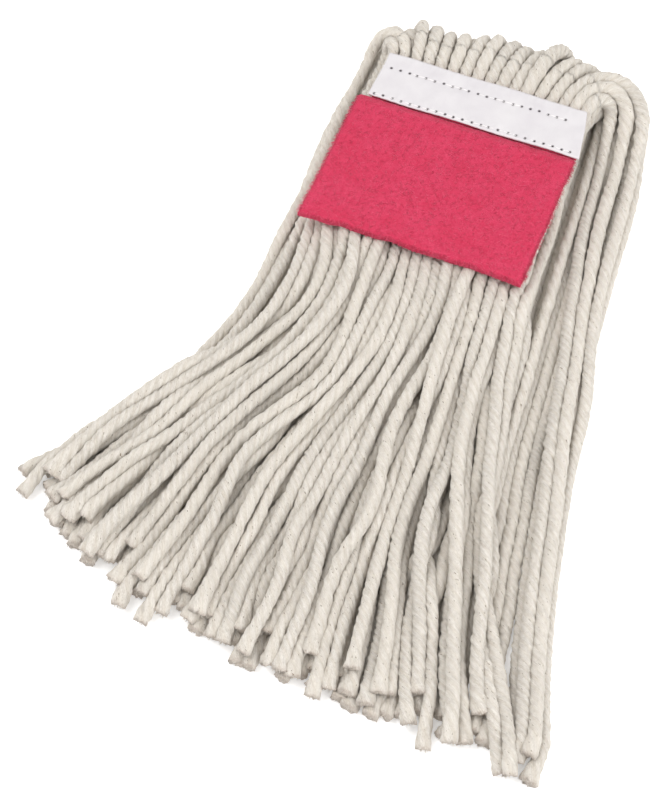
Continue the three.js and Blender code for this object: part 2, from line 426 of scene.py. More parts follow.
def floor_material():
    """Pale studio paper that glows a little, so that it stays white to its far edge."""
    n = Nodes("studio_paper")
    grain = n.noise(n.place(), 900.0, 2.0)
    colour = n.mix(grain, PAPER_SHADE, PAPER_LIGHT)
    n.shader.inputs["Emission Color"].default_value = WHITE
    n.shader.inputs["Emission Strength"].default_value = PAPER_GLOW
    bump = n.bump(grain, distance=0.00005, strength=0.2)
    return n.finish(colour, bump, roughness=0.9, specular=0.1)


cotton = cotton_material()
scrub = scrub_material()
tape_vinyl = tape_material()
thread = thread_material()

# ---- yarn layout ----

ROW_COUNTS = (17, 16, 17)  # top, middle and lower rows across the headband
YARN_DIAMETER = 7.4  # over the crowns of the plies
CONTACT = 6.7  # how close two soft yarns lie, centre to centre
FLOOR_Z = 3.5
STATION_STEP = 5.0
BACK_FIRST_Y = 33.0
LAST_Y = -400.0
BAND_X = BAND_LENGTH / 2 - YARN_DIAMETER / 2 - 1  # of the outermost yarns
LAYER_GAP = 0.4  # above and below the yarns
MIDDLES_TOP = PAD_UNDERSIDE - LAYER_GAP
MIDDLES_BOTTOM = LOWER_TAPE_TOP + LAYER_GAP
ROW_PITCH = (MIDDLES_TOP - MIDDLES_BOTTOM) / len(ROW_COUNTS)
BAND_SQUASH = ROW_PITCH / YARN_DIAMETER

LEFT_SIDE_YARNS = 2  # yarns that come round each end of the headband
RIGHT_SIDE_YARNS = 3

row = np.repeat(np.arange(len(ROW_COUNTS)), ROW_COUNTS)
u = np.concatenate([np.linspace(-1, 1, count) for count in ROW_COUNTS])
YARNS = len(u)
number_in_row = np.concatenate([np.arange(count) for count in ROW_COUNTS])
band_x = BAND_X * u
band_z = MIDDLES_TOP - ROW_PITCH * (row + 0.5)


def curve_through(points):
    """x as a smooth function of y, through a few (y, x) points."""
    y, x = np.array(sorted(points), float).T
    slope = np.gradient(x, y)

    def at(q):
        q = np.clip(q, y[0], y[-1])
        k = np.clip(np.searchsorted(y, q, side="right") - 1, 0, len(y) - 2)
        h = y[k + 1] - y[k]
        t = (q - y[k]) / h
        ends = (2 * t**3 - 3 * t**2 + 1) * x[k] + (3 * t**2 - 2 * t**3) * x[k + 1]
        return ends + h * ((t**3 - 2 * t**2 + t) * slope[k] + (t**3 - t**2) * slope[k + 1])

    return at


# The outline of the whole spread of yarn, as (y, x) points.
left_edge = curve_through(
    [(40, -82), (-17, -84), (-82, -80), (-152, -76), (-202, -84), (-259, -102), (-322, -148)]
)
right_edge = curve_through(
    [(40, 98), (-12, 105), (-62, 110), (-146, 120), (-224, 134), (-312, 154), (-362, 169)]
)


FRINGE_LEFT, FRINGE_RIGHT_X = (-148, -320), 172
FRINGE_DROP = 60  # how much further the right end reaches than the left


def fringe_y(x):
    """The line of the cut ends."""
    left_x, left_y = FRINGE_LEFT
    share = np.clip((x - left_x) / (FRINGE_RIGHT_X - left_x), 0, 1)
    return left_y - FRINGE_DROP * (1 - (1 - share) ** 4)


def wander(size, wavelength):
    """Slow sideways drift of each strand."""
    knots = int(len(stations) * STATION_STEP / wavelength) + 3
    return slow_noise(len(stations), knots, size, YARNS)


stations = np.arange(BACK_FIRST_Y, LAST_Y, -STATION_STEP)
FRONT_FIRST = int(np.argmax(stations < -BAND_EDGE))
FRONT_END_X = -8 + 140 * u + 16 * u * u + 3 * row * u  # the fan of the front halves' ends
FRONT_FAN_POWER = 2.1  # they fan out late
FRONT_SWING = 24 * (1 - u) / 2  # and the left ones bow to the right on their way
SWING_Y, SWING_HALF = -170, 115
FRONT_RAGGED, BACK_RAGGED = (-2, 22), (-3, 16)  # how unevenly the ends are cut
FRONT_WANDER, BACK_WANDER = (2.6, 85), (1.2, 110)  # size and wavelength

front_end_y = fringe_y(FRONT_END_X) + rng.uniform(*FRONT_RAGGED, YARNS) - 3 * row


def front_targets():
    """The lane that each front half would follow if it lay alone."""
    y = stations[:, None]
    t = np.clip((-BAND_EDGE - y) / (-BAND_EDGE - fringe_y(FRONT_END_X)), 0, 1.2)
    swing = np.cos(np.clip((y - SWING_Y) / SWING_HALF, -1, 1) * math.pi / 2) ** 2
    x = lerp(band_x, FRONT_END_X, t**FRONT_FAN_POWER) + FRONT_SWING * swing
    return x + wander(*FRONT_WANDER) * smooth(t * 3)


# Side yarns: the one nearest the headband's corner turns tightest and lies innermost.
side = np.zeros(YARNS)
side[:LEFT_SIDE_YARNS] = -1
side[ROW_COUNTS[0] - RIGHT_SIDE_YARNS : ROW_COUNTS[0]] = 1
corner_rank = np.where(side < 0, number_in_row, ROW_COUNTS[0] - 1 - number_in_row)
side_count = np.where(side < 0, LEFT_SIDE_YARNS, RIGHT_SIDE_YARNS)
OUTLINE_INSET, SIDE_STEP = 4.0, 10.0
from_edge = OUTLINE_INSET + SIDE_STEP * (side_count - 1 - corner_rank)

BACK_SPREAD = np.array([1.10, 1.0, 0.95])  # each row's share of the outline by the headband
FRINGE_SPREAD = np.array([1.0, 0.97, 0.92])  # and at the cut ends
SPREAD_LENGTH = 230
SIDE_CLOSING, CLOSING_LENGTH = 0.45, 300  # the side yarns draw together
WANDER_START = 60


def back_targets():
    """The lane that each back half would follow if it lay alone."""
    y = stations[:, None]
    run = BACK_FIRST_Y - y
    left, right = left_edge(y), right_edge(y)
    middle, half = (left + right) / 2, (right - left) / 2 - OUTLINE_INSET
    spread = lerp(BACK_SPREAD[row], FRINGE_SPREAD[row], smooth(run / SPREAD_LENGTH))
    x = middle + half * u * spread
    inset = from_edge * lerp(1.0, SIDE_CLOSING, smooth(run / CLOSING_LENGTH))
    x = np.where(side > 0, right - inset, x)
    x = np.where(side < 0, left + inset, x)
    return x + wander(*BACK_WANDER) * smooth(run / WANDER_START)


front_x, back_x = front_targets(), back_targets()
back_end_y = fringe_y(back_x[-6]) + rng.uniform(*BACK_RAGGED, YARNS)
BACK_START_Z = np.array([FLOOR_Z, FLOOR_Z + 4.6, FLOOR_Z + 8.0])
SIDE_START_Z = 21.0
back_z0 = np.where(side != 0, SIDE_START_Z, BACK_START_Z[row])

SETTLE_STEPS = 260
WEIGHT = 0.22  # how far a yarn sinks in a step
LATE_LOSS = 0.7  # the share of the weight gone by the last step
GUIDE = 0.035  # how strongly a yarn is drawn back to its lane
STIFFNESS = 0.45
PRESS = 0.33  # the share of an overlap undone at a time
DROP = 4.0  # how far the front halves start above the headband's layers
PAD_DROOP = 2.5


def ceiling_z(x, y):
    """The highest that a yarn's centre may lie under the pad or, if a back half, the headband."""
    fall = smooth((PAD_START - y) / (PAD_START - PAD_END))
    pad = PAD_UNDERSIDE - PAD_DROOP * fall - YARN_DIAMETER / 2
    under_pad = (np.abs(x) < PAD_LENGTH / 2 + 2) & (y < -BAND_EDGE) & (y > PAD_END - 3)
    top = np.where(under_pad, pad, np.inf)
    under_band = (np.abs(x) < BAND_LENGTH / 2 + 1) & (np.abs(y) < BAND_EDGE + 1)
    under_band[:, :YARNS] = False
    return np.where(under_band, np.minimum(top, LOWER_TAPE_BOTTOM - YARN_DIAMETER / 2), top)


def settle():
    """Lets both halves of every yarn sink, pushes them apart and keeps them near their lanes."""
    target = np.concatenate([front_x, back_x], 1)
    end_y = np.concatenate([front_end_y, back_end_y])
    y = stations[:, None]
    x = target.copy()
    z = np.tile(np.concatenate([band_z + DROP, back_z0]), (len(stations), 1))
    active = np.ones(x.shape, bool)
    active[:FRONT_FIRST, :YARNS] = False
    active &= y >= end_y - 4
    fixed = np.zeros(x.shape, bool)
    fixed[: FRONT_FIRST + 1, :YARNS] = True
    fixed[:1, YARNS:] = True
    x[: FRONT_FIRST + 1, :YARNS] = band_x
    z[: FRONT_FIRST + 1, :YARNS] = band_z
    x_fixed, z_fixed = x.copy(), z.copy()
    slope = np.gradient(target, stations, axis=0)
    upright = 1 / np.sqrt(1 + slope**2)
    pair_upright = (0.5 * (upright[:, :, None] + upright[:, None, :])).astype(np.float32)
    both = active[:, :, None] & active[:, None, :]
    both &= ~np.eye(2 * YARNS, dtype=bool)
    for step in range(SETTLE_STEPS):
        late = step / SETTLE_STEPS
        z -= WEIGHT * (1 - LATE_LOSS * late)
        x += GUIDE * (target - x)
        drift = x - target
        x[1:-1] += STIFFNESS * (0.5 * (drift[:-2] + drift[2:]) - drift[1:-1])
        z[1:-1] += STIFFNESS * (0.5 * (z[:-2] + z[2:]) - z[1:-1])
        for _ in range(2):
            dx = (x[:, :, None] - x[:, None, :]).astype(np.float32) * pair_upright
            dz = (z[:, :, None] - z[:, None, :]).astype(np.float32)
            gap = np.sqrt(dx * dx + dz * dz) + 1e-4
            press = np.where(both & (gap < CONTACT), (CONTACT - gap) / gap, 0) * PRESS
            x += (press * dx).sum(2)
            z += (press * dz).sum(2)
            z = np.maximum(np.minimum(z, ceiling_z(x, y)), FLOOR_Z)
            x = np.where(fixed, x_fixed, x)
            z = np.where(fixed, z_fixed, z)
    return x[:, :YARNS], z[:, :YARNS], x[:, YARNS:], z[:, YARNS:]


front_x, front_z, back_x, back_z = settle()

# ---- loops ----

LOOP_POINTS = 26
LOOP_APEX = np.array([64.0, 61.5, 50.0])  # y of each row's loops at their furthest
LOOP_TOP = np.array([33.0, 31.0, 24.0])  # and z of their crests
PROUD_LOOPS = {2: 5.0, 7: 2.5, 11: 8.5}  # yarns of the top row whose loops stand up
PROUD_REACH = 0.6  # how much further out they go for each millimetre up
SIDE_REACH = {-1: 0.5, 1: 0.95}  # how far a side loop swings out beyond the band
SIDE_CREST = 4.5
RISE_SHARE, TAIL_SHARE = 0.3, 0.12  # of a loop's run, before and after its turn

loop_apex = LOOP_APEX[row] + 5 * u - 9 * u * u + rng.uniform(-2.5, 2.5, YARNS)
loop_top = LOOP_TOP[row] + rng.uniform(-0.8, 1.6, YARNS) * (row == 0)
for proud_yarn, rise in PROUD_LOOPS.items():
    loop_top[proud_yarn] += rise
    loop_apex[proud_yarn] += PROUD_REACH * rise


def side_loop(start, end, way, s):
    """A loop that swings out round the end of the headband."""
    radius = abs(end[0] - start[0]) / 2
    angle = math.pi * smooth((s - 0.08) / 0.92)
    x = (start[0] + end[0]) / 2 - way * radius * np.cos(angle)
    reach = SIDE_REACH[way] * radius
    y = lerp(start[1], end[1], s) + reach * np.sin(angle) + 4 * np.sin(math.pi * s)
    crest = SIDE_CREST * np.sin(math.pi * s) ** 2
    z = lerp(start[2], end[2], smooth(s * 1.1 - 0.3)) + crest
    return x, y, z


def edge_loop(start, end, apex, top, s):
    """A loop that rises from the headband's far edge and turns down and back under it."""
    half_height = (top - end[2]) / 2
    reach = min(half_height * 1.15, apex - end[1])
    centre_y = apex - reach
    rising = s < RISE_SHARE
    angle = math.pi * np.clip((s - RISE_SHARE) / (1 - RISE_SHARE - TAIL_SHARE), 0, 1)
    outward = lerp(start[1], centre_y, s / RISE_SHARE)
    y = np.where(rising, outward, centre_y + reach * np.sin(angle))
    y = lerp(y, end[1], np.clip((s - (1 - TAIL_SHARE)) / TAIL_SHARE, 0, 1))
    upward = lerp(start[2], top, smooth(s / RISE_SHARE))
    z = np.where(rising, upward, end[2] + half_height * (1 + np.cos(angle)))
    return lerp(start[0], end[0], smooth(s)), y, z


def loop_points(i):
    """The loop of yarn i, from the headband's far edge round to the start of its back half."""
    start = np.array([band_x[i], BAND_EDGE, band_z[i]])
    end = np.array([back_x[0, i], BACK_FIRST_Y, back_z[0, i]])
    s = np.linspace(0, 1, 200)
    if side[i]:
        path = side_loop(start, end, side[i], s)
    else:
        path = edge_loop(start, end, loop_apex[i], loop_top[i], s)
    return resample(np.stack(path, 1), LOOP_POINTS)


def resample(path, count):
    """The same line with points spaced evenly along it."""
    along = np.concatenate([[0], np.cumsum(steps(path))])
    want = np.linspace(0, along[-1], count)
    return np.stack([np.interp(want, along, path[:, axis]) for axis in range(3)], 1)


SPREAD_PASSES = 40
LOOP_PRESS = 0.12
LOOP_STIFFNESS = 0.25


def spread_loops(loops):
    """Pushes neighbouring loops apart until they only press on each other."""
    count, points, _ = loops.shape
    owner = np.repeat(np.arange(count), points)
    other = owner[:, None] != owner[None, :]
    ease = np.sin(np.linspace(0, math.pi, points)) ** 0.5
    ease[[0, -1]] = 0
    for _ in range(SPREAD_PASSES):
        flat = loops.reshape(-1, 3)
        apart = flat[:, None, :] - flat[None, :, :]
        gap = np.sqrt((apart**2).sum(2)) + 1e-4
        press = np.where(other & (gap < CONTACT), (CONTACT - gap) / gap, 0)
        push = (press[:, :, None] * apart).sum(1) * LOOP_PRESS
        loops = loops + push.reshape(loops.shape) * ease[None, :, None]
        middle = 0.5 * (loops[:, :-2] + loops[:, 2:]) - loops[:, 1:-1]
        loops[:, 1:-1] += LOOP_STIFFNESS * middle
        loops[:, 1:-1, 2] = np.maximum(loops[:, 1:-1, 2], FLOOR_Z)
    return loops


loops = spread_loops(np.stack([loop_points(i) for i in range(YARNS)]))

# ---- yarn paths ----

RING_STEP = 2.0
SIDES = 20
PATH_SMOOTHING = 40
PLIES = 4
PLY_RADIUS = 2.5
PLY_CENTRE = 1.2  # from the yarn's middle to a ply's
TWIST_PITCH = 22.0
FLARE_LENGTH = 15.0  # how far from its cut end a yarn opens
CUT_LENGTH = 2.5  # and is darkened towards brown
HAIRS_PER_MM = 0.7
HAIR_RADIUS = 0.085
TUFT_FIBRES = 9
SKIN_Z = 0.1  # the lowest that a yarn's surface may go
LOOP_BULGE = 0.18  # where the yarn turns over
FRONT_CUT_Y = -13.0  # where the front piece begins, inside the headband


def half_points(x, z, i, first, end_y):
    """One hanging half of yarn i from its first station to its cut end."""
    last = int(np.argmax(stations < end_y))
    y = stations[first:last]
    points = np.stack([x[first:last, i], y, z[first:last, i]], 1)
    share = (stations[last - 1] - end_y) / STATION_STEP
    tip = lerp(points[-1], [x[last, i], stations[last], z[last, i]], share)
    return np.vstack([points, tip])


def smooth_line(points, passes):
    """A line resampled every millimetre and evened out, with its ends kept."""
    fine = resample(points, int(steps(points).sum()))
    for _ in range(passes):
        fine[1:-1] += 0.5 * (0.5 * (fine[:-2] + fine[2:]) - fine[1:-1])
    return fine


def yarn_path(i):
    """The whole yarn, from the cut end of its front half to that of its back half."""
    front = half_points(front_x, front_z, i, FRONT_FIRST, front_end_y[i])[::-1]
    inside = [(band_x[i], y, band_z[i]) for y in (-12.0, -4.0, 4.0, 12.0)]
    back = half_points(back_x, back_z, i, 1, back_end_y[i])
    path = smooth_line(np.vstack([front, inside, loops[i], back]), PATH_SMOOTHING)
    return resample(path, int(steps(path).sum() / RING_STEP))


def frames_along(path):
    """A tangent and two cross directions at each point, turning as little as possible."""
    tangent = np.gradient(path, axis=0)
    tangent /= np.linalg.norm(tangent, axis=1)[:, None]
    normal = []
    current = np.array([1.0, 0.0, 0.0])
    for direction in tangent:
        current = current - direction * (current @ direction)
        current = current / math.sqrt(current @ current)
        normal.append(current)
    return tangent, np.array(normal), np.cross(tangent, normal)


def lobes(angle, ply_centre, ply_radius):
    """The radius of a bundle of round plies at this angle."""
    sector = 2 * math.pi / PLIES
    off = (angle + sector / 2) % sector - sector / 2
    return ply_centre * np.cos(off) + np.sqrt(ply_radius**2 - (ply_centre * np.sin(off)) ** 2)


class Yarn:
    """One yarn's rings, with the values that its material reads."""

    def __init__(self, i):
        self.path = path = yarn_path(i)
        count = len(path)
        step = steps(path)
        s = np.concatenate([[0], np.cumsum(step)])
        to_end = np.minimum(s, s[-1] - s)
        open_end = smooth(1 - to_end / FLARE_LENGTH)
        pitch = TWIST_PITCH * rng.uniform(0.85, 1.25)
        rate = -2 * math.pi / (pitch * (1 + 1.6 * open_end))
        rate = rate * (1 + slow_noise(count, count // 20, 0.16))
        twist = np.concatenate([[0], np.cumsum(rate[1:] * step)]) + rng.uniform(0, 6.28)
        tangent, normal, binormal = frames_along(path)
        ply = circle(SIDES)
        burst = rng.uniform(0.5, 1.3)
        centre = (PLY_CENTRE * (1 + 0.5 * open_end * burst))[:, None]
        radius = (PLY_RADIUS * (1 + 0.2 * open_end * burst))[:, None]
        in_loop = smooth((path[:, 1] - BAND_EDGE - 2) / 10)
        girth = rng.uniform(0.93, 1.07) * (1 + LOOP_BULGE * in_loop)
        uneven = slow_noise(count, count // 5, 0.02) + slow_noise(count, count // 25, 0.045)
        girth = girth * (1 + uneven)
        r = lobes(ply[None, :], centre, radius) * girth[:, None]
        squeeze = slow_noise(count, count // 12, 0.05)[:, None]
        r = r * (1 + squeeze * np.cos(2 * ply[None, :] + 0.4 * s[:, None] / pitch))
        r = r + self.slubs(count) + rng.normal(0, 0.12, r.shape)
        r = r + rng.normal(0, 0.25, r.shape) * open_end[:, None]
        angle = ply[None, :] + twist[:, None]
        offset = r[:, :, None] * (
            np.cos(angle)[:, :, None] * normal[:, None, :]
            + np.sin(angle)[:, :, None] * binormal[:, None, :]
        )
        offset[:, :, 2] *= (1 - 0.22 * open_end)[:, None]
        near_band = smooth((BAND_EDGE + 10 - np.abs(path[:, 1])) / 12)
        near_band = near_band * (path[:, 2] > LOWER_TAPE_BOTTOM)
        offset[:, :, 2] *= lerp(1.0, BAND_SQUASH, near_band)[:, None]
        rings = path[:, None, :] + offset
        ragged = rng.normal(0, 0.5, (count, SIDES, 1)).clip(-1, 1)
        rings[[0, -1]] += (ragged * tangent[:, None, :])[[0, -1]]
        rings[:, :, 2] = np.maximum(rings[:, :, 2], SKIN_Z)
        self.rings, self.tangent = rings, tangent
        crown = PLY_CENTRE + PLY_RADIUS
        floor = lobes(math.pi / PLIES, PLY_CENTRE, PLY_RADIUS)
        flat = lobes(ply, PLY_CENTRE, PLY_RADIUS)
        # how much painted shade each point round the ring gets, most in the valleys between the plies
        self.valley = np.tile(np.clip((crown - flat) / (crown - floor), 0, 1) ** 2, (count, 1))
        along = np.tile(s[:, None], (1, SIDES))
        self.place = np.stack([r * np.cos(ply), r * np.sin(ply), along], 2)
        self.place += rng.uniform(0, 400, 3)
        self.cut = smooth(1 - to_end / CUT_LENGTH)
        self.tone = rng.uniform(0, 1)

    def slubs(self, count):
        """Uneven fibre along each ply: bumps a few millimetres long."""
        bumps = rng.normal(0, 1, (count, SIDES))
        for _ in range(2):
            bumps = 0.5 * bumps + 0.25 * (np.roll(bumps, 1, 0) + np.roll(bumps, -1, 0))
        bumps = 0.6 * bumps + 0.2 * (np.roll(bumps, 1, 1) + np.roll(bumps, -1, 1))
        return bumps * 0.3

    def add_to(self, shape, points, quads, triangles, place, valley, cut):
        n = len(points)
        values = {"yarn_place": place, "yarn_tone": np.full(n, self.tone)}
        values |= {"ply_valley": valley + np.zeros(n), "cut_end": cut + np.zeros(n)}
        shape.add(points, quads, triangles, **values)

    def add_slice(self, shape, first, last):
        """Adds rings first to last as a closed tube, with their loose fibres."""
        count = len(self.rings[first:last])
        points = with_centres(self.rings[first:last])
        place = with_centres(self.place[first:last])
        valley = np.append(self.valley[first:last], [0.5, 0.5])
        cut = self.cut[first:last]
        cut = np.append(np.repeat(cut, SIDES), [cut[0], cut[-1]])
        ends = tube_ends(SIDES, count * SIDES)
        self.add_to(shape, points, tube_faces(count, SIDES), ends, place, valley, cut)
        self.add_tufts(shape, first, last)
        self.add_hairs(shape, first, last)

    def add_hairs(self, shape, first, last):
        """Short fibre ends that stand a little proud of the plies."""
        count = int((last - first) * RING_STEP * HAIRS_PER_MM)
        k = rng.integers(first, last - 1, count)
        j = rng.integers(0, SIDES, count)
        root = self.rings[k, j]
        outward = root - self.path[k]
        outward /= np.linalg.norm(outward, axis=1)[:, None]
        along = self.tangent[k] * rng.choice([-1.0, 1.0], count)[:, None]
        across = np.cross(outward, along)
        lean = along + across * rng.normal(0, 0.9, count)[:, None]
        lean /= np.linalg.norm(lean, axis=1)[:, None]
        reach = rng.uniform(0.9, 2.4, count)[:, None]
        lift = rng.uniform(0.15, 0.75, count)[:, None]
        rings = []
        beside = np.cross(outward, lean)
        for t, taper in ((0.0, 1.0), (0.55, 0.8), (1.0, 0.25)):
            rise = lift * (1.6 * t - 0.8 * t * t)
            centre = root - 0.12 * outward + lean * reach * t + outward * rise
            width = taper * HAIR_RADIUS
            for turn in (0.0, 2 * math.pi / 3, 4 * math.pi / 3):
                rings.append(centre + width * (math.cos(turn) * beside + math.sin(turn) * outward))
        points = np.stack(rings, 1)
        points[:, :, 2] = np.maximum(points[:, :, 2], SKIN_Z)
        n = points.shape[1]
        base = (np.arange(count) * n)[:, None]
        quads = (base[:, :, None] + tube_faces(3, 3)[None]).reshape(-1, 4)
        ends = (base[:, :, None] + np.array([[0, 2, 1], [6, 7, 8]])[None]).reshape(-1, 3)
        place = np.repeat(self.place[k, j], n, 0)
        self.add_to(shape, points.reshape(-1, 3), quads, ends, place, 0.0, 0.0)

    def add_tufts(self, shape, first, last):
        """Loose fibres that stand out of a cut end."""
        for k, way in ((0, -1), (len(self.path) - 1, 1)):
            if not first <= k < last:
                continue
            ring, centre = self.rings[k], self.rings[k].mean(0)
            for _ in range(TUFT_FIBRES):
                spoke = ring[rng.integers(SIDES)] - centre
                root = centre + spoke * rng.uniform(0.2, 0.8)
                lean = way * self.tangent[k] + spoke * rng.uniform(0.0, 0.08)
                tip = root + lean * rng.uniform(0.6, 2.2)
                tip[2] = max(tip[2], 0.4)
                buried = root - way * self.tangent[k] * 1.5
                self.add_spike(shape, buried, tip, rng.uniform(0.2, 0.42))

    def add_spike(self, shape, root, tip, width):
        """One tapering fibre with a small bend in it."""
        axis = (tip - root) / np.linalg.norm(tip - root)
        first = np.cross(axis, (0.3, 0.5, 0.81))
        first /= np.linalg.norm(first)
        second = np.cross(axis, first)
        angles = circle(4)
        around = np.cos(angles)[:, None] * first + np.sin(angles)[:, None] * second
        middle = lerp(root, tip, 0.6) + rng.normal(0, 0.25, 3)
        points = np.vstack([root + width * around, middle + 0.7 * width * around, [tip], [root]])
        triangles = np.vstack([cap_faces(4, 4, 8, False), cap_faces(0, 4, 9, True)])
        place = points + self.place[0, 0]
        self.add_to(shape, points, tube_faces(2, 4), triangles, place, 0.1, 0.1)


# ---- yarn pieces ----

ROW_NAMES = ("", "middle_row_", "lower_row_")
CREST_WINDOW = 14  # rings among which a loop is at its highest


def declare_yarn(path):
    centres = to_row(path)
    length = round(float(steps(centres).sum()), 3)


def build_half(i, yarn, half, first, last, kinds):
    """One free half of a yarn; only the top row's yarns have nodes in CAD."""
    shape = Shape()
    yarn.add_slice(shape, first, last)
    number = f"{number_in_row[i] + 1:02d}"
    piece = shape.to_object(f"{half}_{ROW_NAMES[row[i]]}yarn_{number}_visual", cotton)
    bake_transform(piece)
    if row[i] == 0:
        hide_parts(*[f"{kind}_{number}" for kind in kinds])
        path = yarn.path[first:last]
        declare_yarn(path[::-1] if half == "front" else path)


def build_yarns():
    """Each yarn's two free halves, and one piece for the middles and the tops of the loops."""
    middles = Shape()
    for i in range(YARNS):
        yarn = Yarn(i)
        path = yarn.path
        in_band = np.flatnonzero((np.abs(path[:, 1]) < 4) & (path[:, 2] > LOWER_TAPE_TOP))
        centre = int(in_band[len(in_band) // 2])
        front_cut = int(np.flatnonzero(path[:centre, 1] <= FRONT_CUT_Y)[-1])
        turning = centre + int(np.flatnonzero(path[centre:, 1] > 30)[0])
        crest = turning + int(np.argmax(path[turning : turning + CREST_WINDOW, 2]))
        yarn.add_slice(middles, front_cut, crest + 1)
        build_half(i, yarn, "front", 0, front_cut + 1, ["front_yarn"])
        build_half(i, yarn, "back", crest, len(path), ["yarn_loop", "back_yarn"])
    piece = middles.to_object("yarn_middles_and_loops", cotton)
    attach(piece, "headband")
    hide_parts("stitched_yarn_middles")


build_yarns()

# ---- scrub pad ----

PAD_THICKNESS = 5.0
MARGIN_THICKNESS = 2.5
PAD_CELL = 1.15  # the spacing of the pad's grid
PAD_FLAP = 95  # from the tape to the free edge
PAD_REST = 0.6  # from the yarns up to the free edge
HINGE_SHARE = 0.06  # of the flap that stays even, next to the tape
EDGE_ROUND = 1.6  # how far in the edges are rounded
ROUND_TOP, ROUND_BOTTOM = 0.62, 0.16  # heights there, as shares of the thickness
# a pit this much lower than the palest place gets the full painted shade
PIT_DEPTH = 0.5  # from the palest to the darkest place
PAD_FIBRES = 6600
FIBRE_SEGMENTS, FIBRE_SIDES = 3, 3
EDGE_HEADINGS = (-math.pi / 2, math.pi, 0.0)  # outwards at the free edge, left and right

TAPE_TAPER = 3.5  # the loops gather the far edge, so it is shorter at each end
TAPE_LEAN = 3.8  # the pad-side edge lies this much further along the headband


def tape_lean(y):
    """How far the headband's layers lean along x at this distance across them."""
    return TAPE_LEAN * (BAND_EDGE - y) / BAND_WIDTH


def random_field(shape, blur, size):
    """Smooth random heights over a grid."""
    field = rng.normal(0, 1, shape)
    for _ in range(blur):
        for axis in (0, 1):
            field = 0.5 * field + 0.25 * (np.roll(field, 1, axis) + np.roll(field, -1, axis))
    return field / field.std() * size


def pad_support():
    """How high the yarns under the pad's free edge hold it."""
    k = int(np.argmax(stations < PAD_END + 6))
    under = np.abs(front_x[k]) < PAD_LENGTH / 2
    return float(np.percentile(front_z[k][under], 90)) + YARN_DIAMETER / 2


PAD_FREE_UNDERSIDE = min(pad_support() + PAD_REST, PAD_UNDERSIDE)


def slab_grid(columns, rows):
    """s from -1 to 1 along the headband and t from 0 to 1 away from the loops."""
    s, t = np.meshgrid(np.linspace(-1, 1, columns), np.linspace(0, 1, rows))
    return s[::-1], t[::-1]


def slab_shape(across, along, top, bottom, name, upper_value, lower_value):
    """A closed slab whose top and bottom are grids of heights over the same x and y."""
    rows, columns = across.shape
    upper = np.stack([across, along, top], -1).reshape(-1, 3)
    lower = np.stack([across, along, bottom], -1).reshape(-1, 3)
    n = rows * columns
    index = np.arange(n).reshape(rows, columns)
    a = index[:-1, :-1].ravel()
    face = np.stack([a, a + 1, a + columns + 1, a + columns], 1)
    rim = np.concatenate([index[0], index[1:, -1], index[-1, -2::-1], index[-2:0:-1, 0]])
    after = np.roll(rim, -1)
    wall = np.stack([rim + n, after + n, after, rim], 1)
    quads = np.vstack([face, face[:, ::-1] + n, wall])
    values = {name: np.concatenate([upper_value.ravel(), lower_value.ravel()])}
    shape = Shape()
    shape.add(np.vstack([upper, lower]), quads=quads, **values)
    return shape


def fibre_slab(across, along, top, bottom, pits):
    # painted shade: the lower a pit, the more it is darkened
    depth = np.clip(0.5 - pits / PIT_DEPTH, 0, 1)
    return slab_shape(across, along, top, bottom, "fibre_depth", depth, depth)


def build_pad():
    """The free flap, from its hinge by the tape to its free edge."""
    s, t = slab_grid(int(PAD_LENGTH / PAD_CELL), int((PAD_START - PAD_END) / PAD_CELL))
    free = smooth((t - HINGE_SHARE) / (1 - HINGE_SHARE))
    across = s * PAD_LENGTH / 2 + random_field(s.shape, 10, 0.25) * np.abs(s)
    along = lerp(PAD_START, PAD_END, t) + (random_field(s.shape, 10, 0.35) - 0.8 * s**4) * t
    bottom = lerp(PAD_UNDERSIDE, PAD_FREE_UNDERSIDE, t) + random_field(s.shape, 120, 0.35) * free
    from_side = np.minimum(1, (1 - np.abs(s)) * PAD_LENGTH / 2 / EDGE_ROUND)
    from_free_edge = np.minimum(1, (1 - t) * PAD_FLAP / EDGE_ROUND)
    inner = smooth(from_side * from_free_edge)
    thick = lerp(MARGIN_THICKNESS, PAD_THICKNESS, smooth(t / 0.07))
    pits = random_field(s.shape, 1, 0.11) + random_field(s.shape, 5, 0.05)
    top = bottom + thick * lerp(ROUND_TOP, 1.0, inner) + pits
    bottom = bottom + thick * ROUND_BOTTOM * (1 - inner)
    shape = fibre_slab(across, along, top, bottom, pits)
    add_fibres(shape, across, along, top)
    piece = shape.to_object("scrub_pad_visual", scrub)
    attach(piece, "scrub_pad")
    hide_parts("scrub_pad")


